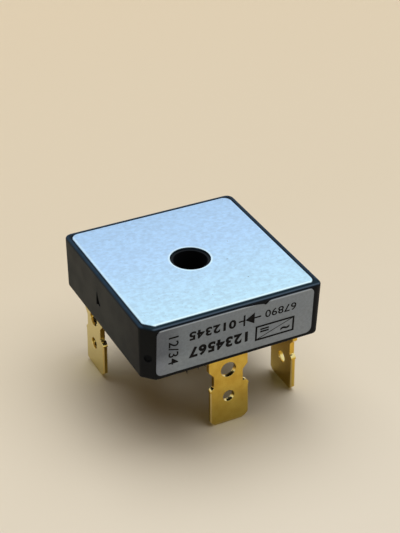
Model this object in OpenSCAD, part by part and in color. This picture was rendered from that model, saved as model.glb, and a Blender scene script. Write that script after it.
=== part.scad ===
// Three-phase bridge rectifier module, square moulded case with a metal base plate.
// It stands on its five blade terminals, with the base plate facing up.
// Origin: on the floor, under the centre of the case. +Z up, label on the -Y side.

/* [Case] */
// Side of the square case at its base plate end
case_side = 28.5; // [26:0.1:32]
// Height of the moulded case, without the terminals
case_height = 8.75; // [8.5:0.05:12]
// How far each side face leans in by the terminal end
case_draft = 0.2; // [0:0.05:0.4]
// Radius of the three plain corners
corner_r = 1.2; // [1:0.1:2]
// Leg of the cut corner that marks the module's way round
corner_cut = 1.8; // [1:0.1:3]
// Radius of the two upright edges of the cut corner
cut_edge_r = 0.75; // [0.7:0.05:1]
// Edge rounding at the base plate end
rim_round = 0.3; // [0.1:0.05:0.4]
// Edge rounding at the terminal end
foot_round = 0.45; // [0.2:0.05:0.45]
// Thickness of the side walls below the base plate
wall = 1.3; // [1:0.1:1.6]
// Thickness of the floor that the terminals pass through
floor_t = 1.5; // [1:0.1:2]

/* [Screw tube] */
// Diameter of the mounting bore for an M5 screw
bore_d = 5.2; // [4.8:0.1:5.4]
// Outer diameter of the collar that passes through the base plate
collar_d = 6; // [5.8:0.1:6.6]
// How far the collar ends below the outer face of the base plate
collar_drop = 0.3; // [0:0.05:1]
// Outer diameter of the tube inside the case
tube_d = 7.6; // [7:0.1:8.2]

/* [Base plate] */
// Width of the plastic rim left round the base plate
rim_w = 0.78; // [0.6:0.01:0.9]
// How far the plate's outline sits off centre, away from the label
plate_shift = 0.12; // [0:0.01:0.15]
// Thickness of the base plate
plate_t = 2; // [1.5:0.1:2.4]
// How far the base plate stands out of the rim
plate_proud = 0.08; // [0:0.01:0.3]
// Corner radius of the base plate
plate_corner_r = 1.3; // [1:0.1:2]
// Leg of the base plate's cut corner
plate_cut = 1.55; // [1:0.05:2.5]
// Radius of the two corners of that cut
plate_cut_r = 0.5; // [0.4:0.05:1]
// Rolled edge left by blanking the plate
plate_edge_r = 0.22; // [0.1:0.01:0.25]
// Clearance between the base plate and the case
plate_gap = 0.05; // [0.03:0.01:0.1]

/* [Label] */
// Distance from the label to the edge of the cut corner
label_gap_cut = 0.07; // [0.05:0.01:1]
// Distance from the label's other end to the far side face
label_gap_far = 1.63; // [1.5:0.01:2.5]
// Distance from the label down to the terminal end of the case
label_rise = 0.8; // [0.6:0.05:1.5]
// Thickness of the foil
label_t = 0.1; // [0.05:0.01:0.2]
// Corner radius of the label
label_r = 0.9; // [0.5:0.1:2]
// Distance from the rim's face down to the label, which stands free over the rounded edge
label_drop = 0.1; // [0.05:0.05:0.3]

/* [Terminals] */
// Length of each blade below the case
blade_exposed = 12.45; // [12:0.05:14]
// Width of a blade
blade_w = 6.35; // [6:0.05:6.4]
// Thickness of a blade
blade_t = 0.8; // [0.7:0.05:0.9]
// Distance from the case's side face to each blade's mid-plane
blade_inset = 2.25; // [2.2:0.05:2.3]
// Offset of the side blades towards the corners
blade_offset = 7.8; // [7.4:0.1:8]
// Corner cut at the tip, narrow side
tip_cut_small = 0.8; // [0.5:0.05:1.5]
// Corner cut at the tip, wide side
tip_cut_large = 1.1; // [0.5:0.05:1.5]
// Coined bevel along the push-on part
coin_bevel = 0.2; // [0.1:0.05:0.25]
// Length of the thinned lead-in at the tip
tip_lead = 0.5; // [0.3:0.05:0.6]
// Height of the shoulders above the tip
shoulder_h = 6.75; // [6:0.05:7]
// Depth of the notch in each edge above the shoulders
notch_depth = 0.8; // [0.5:0.05:1]
// Sideways offset of the push-on part from the neck above it
push_on_shift = 0.2; // [0:0.05:0.3]
// Height at which the notches end
notch_top = 8.7; // [8:0.05:8.8]
// Rise over which the blade widens again above the notches
head_rise = 0.9; // [0.6:0.1:1.2]
// Diameter of the catch hole in the push-on part
catch_hole_d = 1.85; // [1.6:0.05:2]
// Height of the catch hole above the tip
catch_hole_h = 4.75; // [4:0.05:5.2]
// Diameter of the wire hole near the case
wire_hole_d = 2.45; // [2:0.05:2.8]
// Height of the wire hole above the tip
wire_hole_h = 9.35; // [9.2:0.05:9.5]
// Clearance round each blade in its slot
slot_gap = 0.1; // [0.05:0.01:0.12]
// Outward lean of the blade on the +X side nearest the label, in degrees
right_splay = 1.6; // [1:0.1:3]
// Outward lean of the blade under the label, in degrees
front_splay = 3.5; // [1:0.1:4]

/* [Circuit] */
// Thickness of the ceramic wafer under the base plate
wafer_t = 0.65; // [0.4:0.05:1]
// Gap from the ceramic wafer's edge to the case wall
wafer_gap = 0.6; // [0.3:0.1:1.2]
// Thickness of the two bus plates
bus_t = 0.7; // [0.5:0.05:0.8]
// Gap between the screw tube and each bus plate
bus_tube_gap = 1.1; // [0.8:0.1:1.2]
// Gap between each bus plate and the inner faces of the blades beside it
bus_blade_gap = 0.3; // [0.2:0.05:0.5]
// Side of a square diode chip
chip_side = 3.8; // [3:0.1:3.8]
// Thickness of a diode chip with its solder
chip_t = 0.3; // [0.25:0.05:0.4]
// Distance from a bus plate's inner edge to its chips
chip_inset = 0.6; // [0.4:0.05:0.6]
// Distance from a bus plate's end to the chip nearest to it
chip_end = 1.1; // [0.8:0.1:1.2]
// Thickness of the links between the chips
link_t = 0.5; // [0.4:0.05:0.6]
// Width of the links
link_w = 2.6; // [2.2:0.1:2.6]
// How far a link runs past the outer edges of its chips
link_over = 0.1; // [0:0.05:0.2]
// Width of the ring in the middle link
ring_w = 1.3; // [1:0.1:1.4]
// Gap between that ring and the links on both sides of it
ring_link_gap = 0.5; // [0.3:0.1:0.6]
// Gap between the ring and the screw tube
ring_gap = 0.6; // [0.4:0.05:0.8]
// Gap between the end of a link and the feet beside it
link_gap = 0.4; // [0.3:0.05:0.4]

/* [Hidden] */

$fn = 48;

// Runs a cut past the faces that it passes through
over = 1;

// Heights, from the blade tips up
case_z = blade_exposed;
case_top = case_z + case_height;
floor_top = case_z + floor_t;
plate_top = case_top + plate_proud;
plate_z = plate_top - plate_t;
wafer_z = plate_z - wafer_t;
bus_z = wafer_z - bus_t;
chip_z = bus_z - chip_t;
link_z = chip_z - link_t;

// Outlines in plan
half = case_side / 2;
plate_side = case_side - 2 * rim_w;
label_w = case_side - corner_cut - label_gap_cut - label_gap_far;
label_h = case_height - label_drop - label_rise;
label_shift = (corner_cut + label_gap_cut - label_gap_far) / 2;
cavity_side = case_side - 2 * wall;
cavity_r = 1;
// Leg that keeps the wall's thickness behind the cut corner
cavity_cut = corner_cut - wall * (2 - sqrt(2));
wafer_side = cavity_side - 2 * wafer_gap;
ring_hole_d = tube_d + 2 * ring_gap;
ring_d = tube_d + 2 * (ring_gap + ring_w);
blade_row = half - blade_inset;
bus_inner = tube_d / 2 + bus_tube_gap;
bus_w = blade_row - blade_t / 2 - bus_blade_gap - bus_inner;
chip_line = bus_inner + chip_inset + chip_side / 2;
chip_pitch = ring_d / 2 + ring_link_gap + link_w / 2;
bus_l = 2 * (chip_pitch + chip_side / 2 + chip_end);
link_l = 2 * (chip_line + chip_side / 2 + link_over);

// Lean of the side faces
face_low = case_z + foot_round;
face_high = case_top - rim_round;
draft_angle = atan(case_draft / (face_high - face_low));

// Terminals
foot_w = blade_w - 2 * notch_depth;
foot_bend_r = 0.9;
splay_bend_r = 10;
splay_bend_depth = 0.6;
splay_bend_z = case_z - splay_bend_depth;
shank_height = 0.6;
shank_top = floor_top + shank_height;
foot_tip = link_l / 2 + link_gap;
bus_foot = blade_row - foot_tip;
link_foot = blade_row - (chip_pitch - link_w / 2);

// Round gate mark on the cut corner
gate_mark_d = 1.1;
gate_mark_depth = 0.2;
gate_mark_h = 3.7;

// Slit left by a bubble in the -X face
slit_y = 2;
slit_h = 3.5;
slit_depth = 0.25;

// Profile of an upright edge of a rounded block, from its axis outwards
function edge_profile(r, low, high, draft, low_r, high_r) = concat(
    [[0, low]],
    [for (a = [90:-15:0]) [r - draft - low_r * (1 - cos(a)), low + low_r * (1 - sin(a))]],
    [for (a = [0:15:90]) [r - high_r * (1 - cos(a)), high - high_r * (1 - sin(a))]],
    [[0, high]]
);

// Block with three round corners and one cut corner at -X -Y, edges rounded all round
module rounded_block(side, r, cut, cut_r, low, high, draft, low_r, high_r) {
    h = side / 2;
    cut_x = -h + cut + cut_r * tan(22.5);
    hull() {
        for (p = [[h - r, h - r], [r - h, h - r], [h - r, r - h]])
            translate(p) rotate_extrude()
                polygon(edge_profile(r, low, high, draft, low_r, high_r));
        for (p = [[cut_x, cut_r - h], [cut_r - h, cut_x]])
            translate(p) rotate_extrude()
                polygon(edge_profile(cut_r, low, high, draft, low_r, high_r));
    }
}

// Flat outline with three round corners and one cut corner, true arcs
module cut_square(side, r, cut) {
    h = side / 2;
    difference() {
        union() {
            square([side - 2 * r, side], center = true);
            square([side, side - 2 * r], center = true);
            for (x = [r - h, h - r])
                for (y = [r - h, h - r])
                    translate([x, y]) circle(r);
        }
        translate([cut / 2 - h, cut / 2 - h]) rotate(45)
            translate([0, -h]) mirror([1, 0]) square([h, 2 * h]);
    }
}

// Rectangle with round corners, true arcs
module round_rect(w, h, r) {
    square([w - 2 * r, h], center = true);
    square([w, h - 2 * r], center = true);
    for (x = [r - w / 2, w / 2 - r])
        for (y = [r - h / 2, h / 2 - r])
            translate([x, y]) circle(r);
}

// Places a child made at the front of the case at one of the five terminal seats
module at_front() { translate([0, -blade_row, 0]) children(); }
module at_back() { translate([0, blade_row, 0]) rotate(180) children(); }
module at_left() { translate([-blade_row, blade_offset, 0]) rotate(-90) children(); }
module at_right_front() { translate([blade_row, -blade_offset, 0]) rotate(90) children(); }
module at_right_back() { translate([blade_row, blade_offset, 0]) rotate(90) children(); }
module at_each_seat() {
    at_front() children();
    at_back() children();
    at_left() children();
    at_right_front() children();
    at_right_back() children();
}

// Flat blank of the part of a terminal below its bend, tip at height 0
module blade_blank(top) {
    w = blade_w / 2;
    neck = w - notch_depth;
    difference() {
        union() {
            translate([push_on_shift, 0]) {
                translate([-w, 0]) square([blade_w, shoulder_h - notch_depth]);
                for (x = [-neck, neck])
                    translate([x, shoulder_h - notch_depth]) circle(notch_depth);
            }
            translate([-neck, 0]) square([2 * neck, notch_top + head_rise]);
            polygon([
                [-neck, notch_top], [neck, notch_top], [w, notch_top + head_rise],
                [w, top], [-w, top], [-w, notch_top + head_rise],
            ]);
        }
        translate([push_on_shift, 0]) {
            tip_corner(-1, tip_cut_small);
            tip_corner(1, tip_cut_large);
        }
        translate([0, catch_hole_h]) circle(d = catch_hole_d);
        translate([0, wire_hole_h]) circle(d = wire_hole_d);
    }
}

// Triangle that cuts a corner of the tip, on side -1 or 1
module tip_corner(side, cut) {
    edge = side * (blade_w / 2 + over);
    inner = side * (blade_w / 2 - cut - over);
    polygon([[edge, -over], [edge, cut + over], [inner, -over]]);
}

// Section across a bar with all four long edges bevelled
module bevelled_section(w, t, b) {
    polygon([
        [b - w / 2, -t / 2], [w / 2 - b, -t / 2], [w / 2, b - t / 2], [w / 2, t / 2 - b],
        [w / 2 - b, t / 2], [b - w / 2, t / 2], [-w / 2, t / 2 - b], [-w / 2, b - t / 2],
    ]);
}

// Part of a terminal below its bend, with the coined bevels and lead-in of a push-on blade
module blade_below(top) {
    t = blade_t / 2;
    intersection() {
        translate([0, t, 0]) rotate([90, 0, 0])
            linear_extrude(blade_t) blade_blank(top);
        union() {
            translate([push_on_shift, 0, 0]) linear_extrude(shoulder_h - notch_depth)
                bevelled_section(blade_w, blade_t, coin_bevel);
            translate([-blade_w, -blade_w / 2, shoulder_h - notch_depth]) cube([2 * blade_w, blade_w, top]);
        }
        rotate([90, 0, 90]) linear_extrude(2 * blade_w, center = true)
            polygon([[coin_bevel - t, 0], [t - coin_bevel, 0], [t, tip_lead], [t, top], [-t, top], [-t, tip_lead]]);
    }
}

// One terminal: blade, slight outward bend, shank in the case, and a foot bent inwards.
// The foot's upper face lies at height seat, and its end lies reach in from the blade.
module terminal(splay, seat, reach) {
    inner_reach = splay_bend_r + blade_t / 2 - coin_bevel;
    tip = splay_bend_z - (splay_bend_z - inner_reach * sin(splay)) / cos(splay);
    shank = seat - foot_bend_r - blade_t / 2;
    translate([0, -splay_bend_r, splay_bend_z]) {
        rotate([-splay, 0, 0]) translate([0, splay_bend_r, tip - splay_bend_z])
            blade_below(splay_bend_z - tip);
        if (splay > 0)
            rotate([-90, 0, 0]) rotate([0, -90, 0]) rotate_extrude(angle = splay)
                translate([splay_bend_r - blade_t / 2, -blade_w / 2]) square([blade_t, blade_w]);
    }
    translate([-blade_w / 2, -blade_t / 2, splay_bend_z])
        cube([blade_w, blade_t, shank_top - splay_bend_z]);
    translate([-foot_w / 2, -blade_t / 2, shank_top])
        cube([foot_w, blade_t, shank - shank_top]);
    translate([0, foot_bend_r, shank]) rotate([90, 0, 0]) rotate([0, -90, 0]) rotate_extrude(angle = 90)
        translate([foot_bend_r - blade_t / 2, -foot_w / 2]) square([blade_t, foot_w]);
    translate([-foot_w / 2, foot_bend_r, seat - blade_t])
        cube([foot_w, reach - foot_bend_r, blade_t]);
}

// Black moulded shell: drafted walls, floor with five slots, screw tube and plate recess
module case_shell() {
    color("#2c2c2b") difference() {
        rounded_block(case_side, corner_r, corner_cut, cut_edge_r, case_z, case_top,
            case_draft, foot_round, rim_round);
        // Recess for the base plate, round the collar
        difference() {
            translate([0, plate_shift, plate_z]) linear_extrude(plate_t + over)
                cut_square(plate_side + 2 * plate_gap, plate_corner_r, plate_cut);
            translate([0, 0, plate_z - over]) cylinder(d = collar_d, h = over + plate_t - collar_drop);
        }
        // Cavity for the circuit, round the screw tube
        difference() {
            translate([0, 0, floor_top]) linear_extrude(plate_z - floor_top + plate_t / 2)
                cut_square(cavity_side, cavity_r, cavity_cut);
            translate([0, 0, floor_top - over]) cylinder(d = tube_d, h = plate_z - floor_top + over);
            translate([0, 0, plate_z - over]) cylinder(d = collar_d, h = over + plate_t);
        }
        // Mounting bore
        translate([0, 0, case_z - over]) cylinder(d = bore_d, h = case_height + 2 * over);
        // Slots for the terminals
        at_each_seat() translate([-blade_w / 2 - slot_gap, -blade_t / 2 - slot_gap, case_z - over])
            cube([blade_w + 2 * slot_gap, blade_t + 2 * slot_gap, floor_t + 2 * over]);
        // Round gate mark on the face of the cut corner
        translate([corner_cut / 2 - half, corner_cut / 2 - half, case_z + gate_mark_h]) rotate([90, 0, -45])
            translate([0, 0, case_draft / 2 - gate_mark_depth - case_draft])
                cylinder(d = gate_mark_d, h = over);
        bubble_slit();
    }
}

// Slit with a short side branch, as a bubble leaves it at the surface of a moulding
module bubble_slit() {
    translate([-half - over, slit_y, case_z + slit_h]) rotate([90, 0, 90])
        linear_extrude(over + case_draft + slit_depth)
            polygon([
                [0.3, 0], [0.3, 1.1], [0.1, 2], [-0.1, 2.5], [-0.2, 2],
                [-0.4, 1.5], [-0.6, 1.1], [-1.1, 0.5], [-0.7, 0.2], [-0.4, 0.4],
            ]);
}

// Blanked aluminium plate that carries the heat to the heatsink
module base_plate() {
    color("#c3dcea") difference() {
        translate([0, plate_shift, 0])
            rounded_block(plate_side, plate_corner_r, plate_cut, plate_cut_r, plate_z, plate_top,
                0, plate_edge_r, plate_edge_r);
        translate([0, 0, plate_z - over]) cylinder(d = collar_d + 2 * plate_gap, h = plate_t + 2 * over);
    }
}

// Thin foil label, stuck on the leaning front face
module side_label() {
    label_z = case_top - label_drop - label_h / 2;
    face_y = -half + case_draft * (face_high - label_z) / (face_high - face_low);
    color("#767979") translate([label_shift, face_y, label_z]) rotate([90 + draft_angle, 0, 0])
        linear_extrude(label_t) round_rect(label_w, label_h, label_r);
}

module terminal_negative() {
    color("#c8a150") at_left() terminal(0, bus_z, bus_foot);
}

module terminal_positive() {
    color("#c8a150") at_right_front() terminal(right_splay, bus_z, bus_foot);
}

module terminal_ac_1() {
    color("#c8a150") at_back() terminal(0, link_z, link_foot);
}

module terminal_ac_2() {
    color("#c8a150") at_right_back() terminal(0, link_z, bus_foot);
}

module terminal_ac_3() {
    color("#c8a150") at_front() terminal(front_splay, link_z, link_foot);
}

// Ceramic wafer that insulates the circuit from the base plate
module ceramic_wafer() {
    color("#eceae2") translate([0, 0, wafer_z]) difference() {
        linear_extrude(wafer_t) cut_square(wafer_side, cavity_r, cavity_cut);
        translate([0, 0, -over]) cylinder(d = ring_hole_d, h = wafer_t + 2 * over);
    }
}

// Copper bus plate for three chips, on the +X side
module bus_plate() {
    translate([bus_inner, -bus_l / 2, bus_z]) cube([bus_w, bus_l, bus_t]);
}

module negative_bus() {
    color("#b87145") mirror([1, 0, 0]) bus_plate();
}

module positive_bus() {
    color("#b87145") bus_plate();
}

// Diode chip i of six: 1 to 3 on the negative bus, 4 to 6 on the positive bus
module diode_chip(i) {
    line = i > 3 ? chip_line : -chip_line;
    row = (i - 1) % 3 - 1;
    color("#5b6068") translate([line - chip_side / 2, row * chip_pitch - chip_side / 2, chip_z])
        cube([chip_side, chip_side, chip_t]);
}

// Straight link across the case, at row -1, 0 or 1 of the chips
module link_bar(row) {
    translate([-link_l / 2, row * chip_pitch - link_w / 2, link_z]) cube([link_l, link_w, link_t]);
}

module ac_link_1() {
    color("#b87145") link_bar(1);
}

// The middle link passes round the screw tube in a ring and turns along the wall to its terminal
module ac_link_2() {
    arm_w = bus_inner + bus_w - foot_tip;
    color("#b87145") difference() {
        union() {
            link_bar(0);
            translate([0, 0, link_z]) cylinder(d = ring_d, h = link_t);
            translate([link_l / 2 - over, -link_w / 2, link_z])
                cube([link_gap + over, link_w, link_t]);
            translate([foot_tip, -link_w / 2, link_z])
                cube([arm_w, link_w / 2 + blade_offset + foot_w / 2, link_t]);
        }
        translate([0, 0, link_z - over]) cylinder(d = ring_hole_d, h = link_t + 2 * over);
    }
}

module ac_link_3() {
    color("#b87145") link_bar(-1);
}

// Resin that fills the case round the circuit
module potting_resin() {
    color("#3a3630") difference() {
        translate([0, 0, floor_top]) linear_extrude(plate_z - floor_top)
            cut_square(cavity_side, cavity_r, cavity_cut);
        translate([0, 0, floor_top - over]) cylinder(d = tube_d, h = plate_z - floor_top + 2 * over);
        ceramic_wafer();
        negative_bus();
        positive_bus();
        for (i = [1:6])
            diode_chip(i);
        ac_link_1();
        ac_link_2();
        ac_link_3();
        terminal_negative();
        terminal_positive();
        terminal_ac_1();
        terminal_ac_2();
        terminal_ac_3();
    }
}

case_shell();
base_plate();
side_label();
terminal_negative();
terminal_positive();
terminal_ac_1();
terminal_ac_2();
terminal_ac_3();
ceramic_wafer();
negative_bus();
positive_bus();
for (i = [1:6])
    diode_chip(i);
ac_link_1();
ac_link_2();
ac_link_3();
potting_resin();
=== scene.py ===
import math

import bmesh
import bpy
from mathutils import Matrix, Vector


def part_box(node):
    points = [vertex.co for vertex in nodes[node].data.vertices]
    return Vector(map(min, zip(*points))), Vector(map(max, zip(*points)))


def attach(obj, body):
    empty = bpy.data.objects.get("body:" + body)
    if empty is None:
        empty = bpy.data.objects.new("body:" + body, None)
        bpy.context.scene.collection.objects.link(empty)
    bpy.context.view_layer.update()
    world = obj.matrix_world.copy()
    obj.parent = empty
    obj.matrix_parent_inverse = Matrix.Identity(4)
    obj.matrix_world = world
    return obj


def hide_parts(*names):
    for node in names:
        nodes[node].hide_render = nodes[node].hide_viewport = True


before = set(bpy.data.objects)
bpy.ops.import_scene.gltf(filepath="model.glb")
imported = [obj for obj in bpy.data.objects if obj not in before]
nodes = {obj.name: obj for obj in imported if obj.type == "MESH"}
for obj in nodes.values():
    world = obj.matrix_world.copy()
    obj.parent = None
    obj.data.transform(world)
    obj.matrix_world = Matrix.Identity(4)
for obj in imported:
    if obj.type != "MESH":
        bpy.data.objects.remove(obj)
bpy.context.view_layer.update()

# Camera. It looks down on the module from the left of the label, over the cut corner,
# through a long lens that keeps the case's edges nearly parallel.
camera = bpy.data.objects.new("camera", bpy.data.cameras.new("camera"))
camera.data.lens = 95.57
camera.data.clip_start = 0.01
camera.location = (-0.0802, -0.1553, 0.1337)
camera.rotation_euler = [math.radians(a) for a in (56.92, -0.88, -27.21)]
bpy.context.scene.collection.objects.link(camera)
bpy.context.scene.camera = camera
bpy.context.scene.view_settings.view_transform = "Standard"


# Studio. A wide sheet of cream paper is the floor and fills the view, in a dim warm room.
# Three broad lamps stand high behind the module and to its right, and throw its shadow to
# the front left.
MM = 0.001


def add(tree, kind, values=None, **settings):
    """A shader node. values gives its inputs as numbers or as the sockets that feed them."""
    node = tree.nodes.new(kind)
    for name, value in settings.items():
        setattr(node, name, value)
    for name, value in (values or {}).items():
        if isinstance(value, bpy.types.NodeSocket):
            tree.links.new(value, node.inputs[name])
        else:
            node.inputs[name].default_value = value
    return node


def along(tree, axis, start, end):
    """A factor that runs from 0 to 1 between two places on an axis, in millimetres."""
    coords = add(tree, "ShaderNodeTexCoord")
    parts = add(tree, "ShaderNodeSeparateXYZ", {"Vector": coords.outputs["Object"]})
    spread = add(tree, "ShaderNodeMapRange", {
        "Value": parts.outputs[axis],
        "From Min": start * MM,
        "From Max": end * MM,
    })
    return spread.outputs["Result"]


def ramp(tree, factor, stops):
    """Colours by factor. stops are (position, linear colour or grey level)."""
    node = add(tree, "ShaderNodeValToRGB", {"Fac": factor})
    while len(node.color_ramp.elements) < len(stops):
        node.color_ramp.elements.new(1.0)
    for element, (position, colour) in zip(node.color_ramp.elements, stops):
        element.position = position
        level = colour if isinstance(colour, tuple) else (colour,) * 3
        element.color = (*level, 1.0)
    return node.outputs["Color"]


def finish_named(name, metallic=0.0):
    """A new material, with its tree and its shader."""
    made = bpy.data.materials.new(name)
    made.use_nodes = True
    shader = made.node_tree.nodes["Principled BSDF"]
    shader.inputs["Metallic"].default_value = metallic
    return made, made.node_tree, shader


def feed(tree, shader, **sockets):
    """Links sockets to the shader's inputs of the same names, with _ for a space."""
    for name, socket in sockets.items():
        tree.links.new(socket, shader.inputs[name.replace("_", " ")])


def mesh_piece(name, bm, finish):
    """An object at the origin from a bmesh, with one finish."""
    mesh = bpy.data.meshes.new(name)
    bm.to_mesh(mesh)
    bm.free()
    mesh.materials.append(finish)
    piece = bpy.data.objects.new(name, mesh)
    bpy.context.scene.collection.objects.link(piece)
    return piece


paper, tree, shader = finish_named("cream_paper")
shader.inputs["Roughness"].default_value = 0.8
shader.inputs["Specular IOR Level"].default_value = 0.2
# The paper is a little warmer further back
near, far = -60, 140
feed(tree, shader, Base_Color=ramp(tree, along(tree, "Y", near, far), [
    (0.0, (0.71, 0.67, 0.58)),
    (0.5, (0.68, 0.61, 0.48)),
    (1.0, (0.69, 0.60, 0.45)),
]))
bm = bmesh.new()
bmesh.ops.create_grid(bm, x_segments=1, y_segments=1, size=3)
mesh_piece("floor", bm, paper)

# The camera and all gloss see a pale backdrop, in place of the room's own dim light
world = bpy.data.worlds.new("room")
bpy.context.scene.world = world
world.use_nodes = True
tree = world.node_tree
room = tree.nodes["Background"]
room.inputs["Color"].default_value = (1.0, 0.68, 0.33, 1.0)
room.inputs["Strength"].default_value = 0.15
backdrop = add(tree, "ShaderNodeBackground", {"Color": (0.84, 0.93, 1.0, 1.0), "Strength": 1.08})
path = add(tree, "ShaderNodeLightPath")
seen = add(tree, "ShaderNodeMath", {0: path.outputs["Is Camera Ray"], 1: path.outputs["Is Glossy Ray"]},
    operation="MAXIMUM")
shown = add(tree, "ShaderNodeMixShader", {
    "Fac": seen.outputs["Value"],
    1: room.outputs["Background"],
    2: backdrop.outputs["Background"],
})
tree.links.new(shown.outputs["Shader"], tree.nodes["World Output"].inputs["Surface"])

# Heights, widths and turns are in degrees. A turn is from straight behind the module to its right
lamp_height = 65
lamp_width = 50
for turn, energy in ((0, 1.38), (60, 0.86), (120, 0.93)):
    lamp = bpy.data.objects.new("lamp", bpy.data.lights.new("lamp", "SUN"))
    lamp.data.angle = math.radians(lamp_width)
    lamp.data.energy = energy
    lamp.rotation_euler = (math.radians(lamp_height - 90), 0, math.radians(-turn))
    lamp.visible_glossy = False
    bpy.context.scene.collection.objects.link(lamp)


def wear(node, finish):
    """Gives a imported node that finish."""
    nodes[node].material_slots[0].material = finish


def grain(tree, size, detail=2.0, low=0.35, high=0.65):
    """Noise whose grains measure size, in millimetres. Its levels low and high become 0 and 1."""
    coords = add(tree, "ShaderNodeTexCoord")
    scaled = add(tree, "ShaderNodeMapping", {
        "Vector": coords.outputs["Object"],
        "Scale": [1 / (s * MM) for s in size],
    })
    noise = add(tree, "ShaderNodeTexNoise", {
        "Vector": scaled.outputs["Vector"],
        "Scale": 1.0,
        "Detail": detail,
    })
    spread = add(tree, "ShaderNodeMapRange", {
        "Value": noise.outputs["Fac"],
        "From Min": low,
        "From Max": high,
    })
    return spread.outputs["Result"]


def bump(tree, height, depth, under=None):
    """A normal for relief of that depth, in millimetres, laid over another one."""
    values = {"Height": height, "Distance": depth * MM}
    if under:
        values["Normal"] = under
    return add(tree, "ShaderNodeBump", values).outputs["Normal"]


def mixed(tree, factor, first, second, mode="MIX"):
    """Two colours by factor, as a colour or a socket each."""
    values = {"Fac": factor, "Color1": first, "Color2": second}
    for name, value in values.items():
        if isinstance(value, tuple):
            values[name] = (*value, 1.0)
    return add(tree, "ShaderNodeMixRGB", values, blend_type=mode).outputs["Color"]


def outwards(tree, start, end):
    """A factor that runs from 0 to 1 between two squares round the axis, given by half sides."""
    coords = add(tree, "ShaderNodeTexCoord")
    reach = add(tree, "ShaderNodeVectorMath", {0: coords.outputs["Object"]}, operation="ABSOLUTE")
    parts = add(tree, "ShaderNodeSeparateXYZ", {"Vector": reach.outputs["Vector"]})
    side = add(tree, "ShaderNodeMath", {0: parts.outputs["X"], 1: parts.outputs["Y"]}, operation="MAXIMUM")
    spread = add(tree, "ShaderNodeMapRange", {
        "Value": side.outputs["Value"],
        "From Min": start * MM,
        "From Max": end * MM,
    })
    return spread.outputs["Result"]


def spot(tree, centre, size, edge=0.5):
    """A factor of 1 in an ellipsoid of that size, in millimetres. The outer share edge fades."""
    coords = add(tree, "ShaderNodeTexCoord")
    placed = add(tree, "ShaderNodeMapping", {
        "Vector": coords.outputs["Object"],
        "Location": [-c / s * 2 for c, s in zip(centre, size)],
        "Scale": [2 / (s * MM) for s in size],
    })
    distance = add(tree, "ShaderNodeVectorMath", {0: placed.outputs["Vector"]}, operation="LENGTH")
    inside = add(tree, "ShaderNodeMapRange", {
        "Value": distance.outputs["Value"],
        "From Min": 1.0,
        "From Max": 1.0 - edge,
    })
    return inside.outputs["Result"]


case_low, case_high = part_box("case_shell")
rim = case_high.z / MM
half = case_high.x / MM
compound, tree, shader = finish_named("moulded_compound")
shader.inputs["Specular IOR Level"].default_value = 0.07
skin = grain(tree, (0.12, 0.12, 0.12), detail=3.0)
sides = ramp(tree, grain(tree, (3.0, 3.0, 3.0), detail=2.0), [
    (0.0, (0.0056, 0.0066, 0.0080)),
    (1.0, (0.0080, 0.0092, 0.0112)),
])
# The left face is painted a little lighter and greyer than the others, fading out towards its front, as a
# painted sheen
draft, fade = 0.2, 0.15
sheen_start, sheen_full = -12, -5
left_face_sheen = mixed(tree, along(tree, "Y", sheen_start, sheen_full), sides, (0.018, 0.022, 0.024))
sides = mixed(tree, along(tree, "X", draft + fade - half, draft - half), sides, left_face_sheen)
# The rim's top is painted bluish, as a painted reflection of the bluish backdrop above
rim_sheen = ramp(tree, grain(tree, (0.9, 0.9, 0.9), detail=5.0), [
    (0.0, (0.006, 0.018, 0.034)),
    (1.0, (0.012, 0.028, 0.050)),
])
# The rim has painted shade in the crease beside the plate, and along its front a painted highlight between
# two bands of painted shade. All three are measured inwards from the outer face
crease_shade_in, crease_shade_out = 0.72, 0.45
front_sheen_w = 0.85
front_start, front_full = 1.6, 1.2
rim_sheen = mixed(tree, outwards(tree, half - crease_shade_in, half - crease_shade_out), (0.001, 0.004, 0.008), rim_sheen)
front_rim_sheen = ramp(tree, along(tree, "Y", front_sheen_w - half, -half), [
    (0.0, (0.002, 0.010, 0.016)),
    (0.22, (0.002, 0.012, 0.020)),
    (0.50, (0.046, 0.072, 0.104)),
    (0.62, (0.034, 0.055, 0.080)),
    (0.82, (0.001, 0.002, 0.004)),
])
rim_sheen = mixed(tree, along(tree, "Y", front_start - half, front_full - half), rim_sheen, front_rim_sheen)
matt = ramp(tree, grain(tree, (3.0, 3.0, 3.0), detail=2.0), [(0.0, 0.46), (1.0, 0.54)])
# The gate mark on the cut corner is rougher, and the rim's painted reflection and shade start on its
# rounded edge
gate_in, gate_up, gate_w = 0.9, 3.7, 1.4
gate = (case_low.x / MM + gate_in, case_low.y / MM + gate_in, case_low.z / MM + gate_up)
round_foot, round_top = rim - 0.12, rim - 0.02
feed(tree, shader,
    Base_Color=mixed(tree, along(tree, "Z", round_foot, round_top), sides, rim_sheen),
    Roughness=mixed(tree, spot(tree, gate, (gate_w,) * 3, edge=0.1), matt, (0.95, 0.95, 0.95)),
    Normal=bump(tree, skin, 0.006))
wear("case_shell", compound)

# Flash. Three thin burrs of compound hang from the lower edge of the front face, where it
# squeezed out between the halves of the tool.
bm = bmesh.new()
# Each burr is rooted inside the case's lower edge, and its tip hangs a little to one side
root_in, root_up, depth = 0.36, 0.2, 0.08
tip_x, tip_y = 0.04, -0.05
for x, width, drop in ((-7.5, 0.24, 0.50), (-5.7, 0.14, 0.26), (-4.6, 0.20, 0.20)):
    root = Vector((x, case_low.y / MM + root_in, case_low.z / MM + root_up))
    corners = [
        root + Vector((-width / 2, 0, 0)), root + Vector((width / 2, 0, 0)),
        root + Vector((0, depth, 0)), root + Vector((tip_x, tip_y, -root_up - drop)),
    ]
    bmesh.ops.convex_hull(bm, input=[bm.verts.new(corner * MM) for corner in corners])
bmesh.ops.recalc_face_normals(bm, faces=bm.faces[:])
flash = mesh_piece("moulding_flash", bm, compound)
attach(flash, "root")

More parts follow.
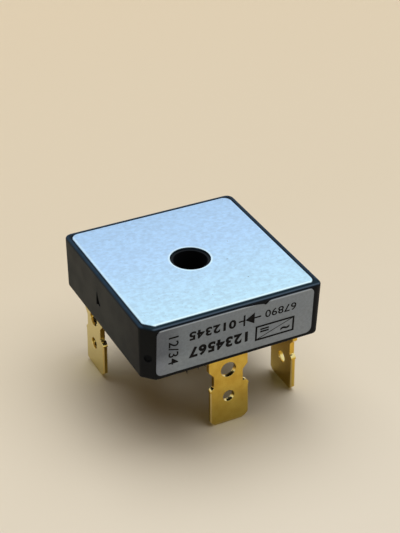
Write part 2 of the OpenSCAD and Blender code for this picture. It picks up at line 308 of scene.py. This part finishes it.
# Base plate. It is blanked from cold-rolled aluminium sheet, so it has a fine mottled grain,
# a rolled edge and a few dark specks, and it is pressed into the recess on thermal grease.
plate_low, plate_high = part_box("base_plate")
face = plate_high.z / MM
plate_half = plate_high.x / MM
front = plate_low.y / MM
aluminium, tree, shader = finish_named("rolled_aluminium", metallic=0.85)
# The sheet's blue, bluest at the back and palest at the front, is a painted reflection of the sky
sky_reach = 14
painted_sky = ramp(tree, along(tree, "Y", sky_reach, -sky_reach), [
    (0.0, (0.485, 0.668, 0.89)),
    (0.4, (0.544, 0.742, 0.97)),
    (1.0, (0.636, 0.872, 0.98)),
])
mottle = grain(tree, (0.70, 0.60, 0.5), detail=5.0)
streaks = grain(tree, (0.8, 0.35, 0.3), detail=3.0)
colour = mixed(tree, 1.0, painted_sky, ramp(tree, mottle, [(0.0, 0.84), (1.0, 1.0)]), "MULTIPLY")
colour = mixed(tree, 1.0, colour, ramp(tree, streaks, [(0.0, 0.94), (1.0, 1.0)]), "MULTIPLY")
specks = grain(tree, (0.22, 0.22, 0.22), detail=1.0, low=0.74, high=0.80)
colour = mixed(tree, specks, colour, (0.30, 0.36, 0.42))
# The rolled edge has a painted highlight along the front, a fainter one on the left and round the hole,
# and painted shade where it turns down. These are measured inwards from the plate's sides and down from
# its face
shine_start, shine_full = 0.62, 0.45
left_start, left_full = 0.45, 0.30
turn_shade_start, turn_shade_full = 0.26, 0.10
side_shade_start, side_shade_full = 0.03, 0.16
ring_w, ring_z = 6.8, 60
plate_highlight = mixed(tree, along(tree, "Y", front + shine_start, front + shine_full),
    (0, 0, 0), (0.8, 0.8, 0.8))
plate_highlight = mixed(tree, along(tree, "X", left_start - plate_half, left_full - plate_half),
    plate_highlight, (0.35, 0.35, 0.35))
plate_highlight = mixed(tree, spot(tree, (0, 0, face), (ring_w, ring_w, ring_z), edge=0.06),
    plate_highlight, (0.6, 0.6, 0.6))
colour = mixed(tree, plate_highlight, colour, (0.84, 0.98, 1.0))
colour = mixed(tree, along(tree, "Y", front + turn_shade_start, front + turn_shade_full),
    colour, (0.004, 0.020, 0.030))
colour = mixed(tree, along(tree, "Z", face - side_shade_start, face - side_shade_full),
    colour, (0.03, 0.06, 0.08))
# Two larger marks lie on the right half
for centre, size in [((4.8, -2.5, face), (0.5, 0.16, 1)), ((5.3, -8.0, face), (0.25, 0.2, 1))]:
    colour = mixed(tree, spot(tree, centre, size), colour, (0.16, 0.19, 0.22))
feed(tree, shader,
    Base_Color=colour,
    Roughness=ramp(tree, mottle, [(0.0, 0.38), (1.0, 0.5)]),
    Normal=bump(tree, mottle, 0.003, bump(tree, streaks, 0.001)))
wear("base_plate", aluminium)

# Label. A grey metal foil with rounded corners and dark print is stuck on the front face,
# upside down while the module stands on its blades. Its top edge is torn in one place.
foil_low, foil_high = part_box("side_label")
foil_t = 0.1 * MM
ink_t = 0.01 * MM
foil_w = foil_high.x - foil_low.x
lean = math.atan2(foil_high.y - foil_low.y - foil_t, foil_high.z - foil_low.z)
foil_h = (foil_high.z - foil_low.z) / math.cos(lean)
across = Vector((1, 0, 0))
up = Vector((0, -math.sin(lean), math.cos(lean)))
middle = Vector(((foil_low.x + foil_high.x) / 2, foil_low.y, foil_high.z)) - up * foil_h / 2
# Turns a sheet drawn flat about its own middle, face up, onto the leaning face of the case
onto_face = Matrix.Translation(middle) @ Matrix((across, up, across.cross(up))).transposed().to_4x4()

# The torn edge, as places along the top and how far the foil is gone below them
tear = [
    (5.6, 0), (5.1, 0.2), (4.8, 0.5), (4.5, 0.62), (4.3, 0.42),
    (3.7, 0.3), (2.8, 0.2), (1.6, 0.1), (0.4, 0),
]
corner_r = 0.9 * MM
outline = []
for side_x, side_y, start in ((1, -1, -90), (1, 1, 0), (-1, 1, 90), (-1, -1, 180)):
    centre = Vector((side_x * (foil_w / 2 - corner_r), side_y * (foil_h / 2 - corner_r), 0))
    for turn in range(0, 91, 15):
        angle = math.radians(start + turn)
        outline.append(centre + Vector((math.cos(angle), math.sin(angle), 0)) * corner_r)
    if start == 0:
        outline += [Vector((x * MM, foil_h / 2 - drop * MM, 0)) for x, drop in tear]

bm = bmesh.new()
bm.faces.new([bm.verts.new(point - Vector((0, 0, ink_t))) for point in outline])
# The top strip is cut across in steps and follows the rounded edge of the case
fold_r = 0.4 * MM
fold_w = 0.2 * MM
fold_step = 0.05 * MM
fold_y = foil_h / 2 - fold_w
for step in range(4):
    bmesh.ops.bisect_plane(bm, geom=bm.verts[:] + bm.edges[:] + bm.faces[:],
        plane_co=(0, fold_y + step * fold_step, 0), plane_no=(0, 1, 0))
for vert in bm.verts:
    turn = (vert.co.y - fold_y) / fold_r
    if turn > 0:
        vert.co.y = fold_y + math.sin(turn) * fold_r
        vert.co.z -= (1 - math.cos(turn)) * fold_r
bmesh.ops.remove_doubles(bm, verts=bm.verts[:], dist=0.001 * MM)
bmesh.ops.solidify(bm, geom=bm.faces[:], thickness=foil_t - ink_t)
bmesh.ops.recalc_face_normals(bm, faces=bm.faces[:])
bm.transform(onto_face)

foil, tree, shader = finish_named("label_foil", metallic=0.9)
# The foil's colours are a painted reflection of the floor: darker towards its upper left, where the floor
# is shaded, and lighter to the right
foil_reach = 12.5
lower = ramp(tree, along(tree, "X", -foil_reach, foil_reach), [
    (0.0, (0.227, 0.256, 0.320)),
    (0.15, (0.252, 0.295, 0.352)),
    (1.0, (0.245, 0.278, 0.330)),
])
upper = ramp(tree, along(tree, "X", -foil_reach, foil_reach), [
    (0.0, (0.133, 0.150, 0.188)),
    (0.09, (0.150, 0.173, 0.212)),
    (0.17, (0.207, 0.241, 0.290)),
    (1.0, (0.236, 0.270, 0.320)),
])
foil_foot = foil_low.z / MM
foil_top = foil_high.z / MM
# The upper colours take over between these heights above the foot
upper_start, upper_full = 1.8, 3.6
# The folded strip has a painted highlight and its very edge a painted shadow, measured down from the top
fold_shine_start, fold_shine_full = 0.30, 0.15
edge_shade_start, edge_shade_full = 0.12, 0.02
colour = mixed(tree, along(tree, "Z", foil_foot + upper_start, foil_foot + upper_full), lower, upper)
colour = mixed(tree, 1.0, colour,
    ramp(tree, grain(tree, (0.35, 0.35, 0.35), detail=5.0), [(0.0, 0.86), (1.0, 1.0)]), "MULTIPLY")
colour = mixed(tree, along(tree, "Z", foil_top - fold_shine_start, foil_top - fold_shine_full),
    colour, (0.40, 0.45, 0.52))
colour = mixed(tree, along(tree, "Z", foil_top - edge_shade_start, foil_top - edge_shade_full),
    colour, (0.05, 0.06, 0.07))
feed(tree, shader,
    Base_Color=colour,
    Roughness=ramp(tree, grain(tree, (3.0, 3.0, 3.0), detail=4.0), [(0.0, 0.30), (1.0, 0.42)]),
    Normal=bump(tree, grain(tree, (0.2, 0.2, 0.2)), 0.003))
label = mesh_piece("label_foil", bm, foil)
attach(label, "root")
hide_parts("side_label")


# Print. Numbers and signs are printed on the foil in a thin coat of black ink, upside down
# as the label is. They are flat shapes, a hundredth of a millimetre above the foil.
def lettered(bm, text, width, height, place, turn, weight=0.0):
    """Adds text to bm, width by height in millimetres round place, turned in degrees.

    weight thickens its strokes and moves its letters apart.
    """
    curve = bpy.data.curves.new("text", "FONT")
    curve.body = text
    curve.offset = weight
    curve.space_character = 1 + 3 * weight
    curve.resolution_u = 4
    written = bpy.data.objects.new("text", curve)
    bpy.context.scene.collection.objects.link(written)
    shape = written.evaluated_get(bpy.context.evaluated_depsgraph_get()).to_mesh().copy()
    bpy.data.objects.remove(written)
    low = [min(v.co[i] for v in shape.vertices) for i in (0, 1)]
    high = [max(v.co[i] for v in shape.vertices) for i in (0, 1)]
    size = (width / (high[0] - low[0]) * MM, height / (high[1] - low[1]) * MM, 1)
    shape.transform(Matrix.Translation((-(low[0] + high[0]) / 2, -(low[1] + high[1]) / 2, 0)))
    shape.transform(
        Matrix.Translation((place[0] * MM, place[1] * MM, 0))
        @ Matrix.Rotation(math.radians(turn), 4, "Z") @ Matrix.Diagonal((*size, 1)))
    bm.from_mesh(shape)
    bpy.data.meshes.remove(shape)


def stroke(bm, points, place):
    """Adds a printed polygon to bm, with points in millimetres round place."""
    bm.faces.new([bm.verts.new(((place[0] + x) * MM, (place[1] + y) * MM, 0)) for x, y in points])


def bar(bm, start, end, place):
    """Adds a printed rectangle to bm, between two opposite corners in millimetres round place."""
    stroke(bm, [start, (end[0], start[1]), end, (start[0], end[1])], place)


bm = bmesh.new()
lettered(bm, "1234567", 9.4, 1.9, (-2.8, -1.4), 180, weight=0.05)
lettered(bm, "012345", 7.4, 1.5, (-3.8, 1.5), 180, weight=0.04)
lettered(bm, "67890", 5.1, 1.3, (7.1, 1.65), 180, weight=0.012)
lettered(bm, "12/34", 4.8, 1.55, (-9.9, -0.1), -90, weight=0.012)
# The sign of a rectifier: a box cut from corner to corner, with alternating and direct current
sign = (6.3, -1.4)
frame_x, frame_y, line = 3.2, 1.3, 0.3
slant = 2.2 * line
current_x, current_y = 1.7, 0.35
for y in (frame_y, line - frame_y):
    bar(bm, (-frame_x, y - line), (frame_x, y), sign)
for x in (line - frame_x, frame_x):
    bar(bm, (x - line, line - frame_y), (x, frame_y - line), sign)
stroke(bm, [(line - frame_x, line - frame_y), (slant - frame_x, line - frame_y),
    (frame_x - line, frame_y - line), (frame_x - slant, frame_y - line)], sign)
lettered(bm, "~", 1.5, 0.6, (sign[0] + current_x, sign[1] - current_y), 180, weight=0.04)
lettered(bm, "=", 1.4, 0.7, (sign[0] - current_x, sign[1] + current_y), 180, weight=0.03)
# The sign of a diode: a lead, an arrow head and a bar across its tip
diode = (2.1, 1.55)
lead_x, lead_y = 1.8, 0.12
head_x, head_y = 0.75, 0.95
bar_x = head_x + 0.3
bar(bm, (-lead_x, -lead_y), (-bar_x, lead_y), diode)
bar(bm, (head_x, -lead_y), (lead_x, lead_y), diode)
stroke(bm, [(-head_x, 0), (head_x, -head_y), (head_x, head_y)], diode)
bar(bm, (-bar_x, -head_y), (-head_x, head_y), diode)
ink, tree, shader = finish_named("label_ink")
shader.inputs["Specular IOR Level"].default_value = 0.04
feed(tree, shader,
    Base_Color=ramp(tree, grain(tree, (0.3, 0.3, 0.3), detail=4.0), [
        (0.0, (0.004, 0.004, 0.005)),
        (1.0, (0.014, 0.014, 0.015)),
    ]),
    Roughness=ramp(tree, grain(tree, (0.6, 0.6, 0.6)), [(0.0, 0.45), (1.0, 0.6)]))
bmesh.ops.dissolve_degenerate(bm, edges=bm.edges[:], dist=0.001 * MM)
bmesh.ops.recalc_face_normals(bm, faces=bm.faces[:])
bm.transform(onto_face)
marks = mesh_piece("label_print", bm, ink)
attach(marks, "root")

# Terminals. Each one is stamped from brass strip and plated bright, with sheared edges,
# a coined tip, a catch hole and a wire hole, and its shank is cast into the resin.
plated, tree, shader = finish_named("plated_brass", metallic=1.0)
drawn = grain(tree, (0.08, 0.08, 2.5), detail=3.0)
gold = ramp(tree, grain(tree, (1.4, 1.4, 1.8), detail=3.0), [
    (0.0, (0.60, 0.38, 0.070)),
    (1.0, (0.70, 0.48, 0.100)),
])
# The plating is a little redder towards the right
red_start, red_full = 6, 9
gold = mixed(tree, along(tree, "X", red_start, red_full), gold, (0.72, 0.46, 0.080))
# The tips are painted a little darker and cooler than the rest, as painted shade
tip_shade_h = 9
tip_shade = ramp(tree, along(tree, "Z", 0, tip_shade_h), [
    (0.0, (0.76, 0.88, 1.0)),
    (0.35, (0.80, 0.88, 0.92)),
    (0.8, (1.0, 1.0, 0.88)),
])
gold = mixed(tree, 1.0, gold, tip_shade, "MULTIPLY")
# The outer flat of the left blade is painted paler and greener, as a painted reflection of the lit floor.
# The broken edges, which face neither straight along X nor straight along Y, get a paler painted highlight
green_start, green_full = -8, -11
facing = add(tree, "ShaderNodeVectorMath",
    {0: add(tree, "ShaderNodeTexCoord").outputs["Normal"]}, operation="ABSOLUTE")
parts = add(tree, "ShaderNodeSeparateXYZ", {"Vector": facing.outputs["Vector"]})
outer = add(tree, "ShaderNodeMath",
    {0: along(tree, "X", green_start, green_full), 1: parts.outputs["X"]}, operation="MULTIPLY")
gold = mixed(tree, outer.outputs["Value"], gold, (0.62, 0.52, 0.20))
flat = add(tree, "ShaderNodeMath",
    {0: parts.outputs["X"], 1: parts.outputs["Y"]}, operation="MAXIMUM")
edge_glint = add(tree, "ShaderNodeMapRange",
    {"Value": flat.outputs["Value"], "From Min": 0.97, "From Max": 0.80})
feed(tree, shader,
    Base_Color=mixed(tree, edge_glint.outputs["Result"], gold, (0.80, 0.62, 0.25)),
    Roughness=ramp(tree, drawn, [(0.0, 0.15), (1.0, 0.26)]),
    Normal=bump(tree, drawn, 0.003))
for name in ("negative", "positive", "ac_1", "ac_2", "ac_3"):
    terminal = nodes["terminal_" + name]
    wear(terminal.name, plated)
    terminal.modifiers.new("joined", "WELD").merge_threshold = 0.002 * MM
    flats = terminal.modifiers.new("whole_flats", "DECIMATE")
    flats.decimate_type = "DISSOLVE"
    flats.angle_limit = math.radians(0.5)
    broken = terminal.modifiers.new("broken_edges", "BEVEL")
    broken.width = 0.05 * MM
    broken.segments = 2
    broken.angle_limit = math.radians(35)
    terminal.modifiers.new("even_flats", "WEIGHTED_NORMAL").keep_sharp = True

# Circuit. Under the plate lie a pressed ceramic wafer, two bus plates and three links cut from
# copper sheet and left dull, and six silicon chips with tinned faces, soldered between them.
ceramic, tree, shader = finish_named("pressed_ceramic")
feed(tree, shader,
    Base_Color=ramp(tree, grain(tree, (1.5, 1.5, 1.5), detail=5.0), [
        (0.0, (0.74, 0.73, 0.68)),
        (1.0, (0.84, 0.83, 0.79)),
    ]),
    Roughness=ramp(tree, grain(tree, (0.8, 0.8, 0.8)), [(0.0, 0.55), (1.0, 0.7)]),
    Normal=bump(tree, grain(tree, (0.1, 0.1, 0.1)), 0.005))
wear("ceramic_wafer", ceramic)

copper, tree, shader = finish_named("dull_copper", metallic=1.0)
feed(tree, shader,
    Base_Color=ramp(tree, grain(tree, (1.8, 1.8, 1.8), detail=6.0), [
        (0.0, (0.42, 0.16, 0.07)),
        (1.0, (0.72, 0.34, 0.18)),
    ]),
    Roughness=ramp(tree, grain(tree, (1.0, 1.0, 1.0), detail=4.0), [(0.0, 0.34), (1.0, 0.55)]),
    Normal=bump(tree, grain(tree, (0.1, 2.0, 0.1)), 0.003))
for name in ("negative_bus", "positive_bus", "ac_link_1", "ac_link_2", "ac_link_3"):
    wear(name, copper)

silicon, tree, shader = finish_named("tinned_silicon", metallic=0.6)
feed(tree, shader,
    Base_Color=ramp(tree, grain(tree, (0.7, 0.7, 0.7), detail=4.0), [
        (0.0, (0.09, 0.10, 0.12)),
        (1.0, (0.20, 0.21, 0.23)),
    ]),
    Roughness=ramp(tree, grain(tree, (0.5, 0.5, 0.5)), [(0.0, 0.3), (1.0, 0.5)]))
for count in range(6):
    wear("diode_chip_" + str(count + 1), silicon)

# Resin. It is poured in dark over the circuit and sets to a smooth, slightly cloudy block
# that locks the terminals' shanks and the wafer into the case.
cast, tree, shader = finish_named("cast_resin")
feed(tree, shader,
    Base_Color=ramp(tree, grain(tree, (4.0, 4.0, 4.0), detail=5.0), [
        (0.0, (0.030, 0.026, 0.022)),
        (1.0, (0.055, 0.048, 0.040)),
    ]),
    Roughness=ramp(tree, grain(tree, (2.0, 2.0, 2.0)), [(0.0, 0.15), (1.0, 0.3)]),
    Normal=bump(tree, grain(tree, (1.2, 1.2, 1.2)), 0.01))
wear("potting_resin", cast)
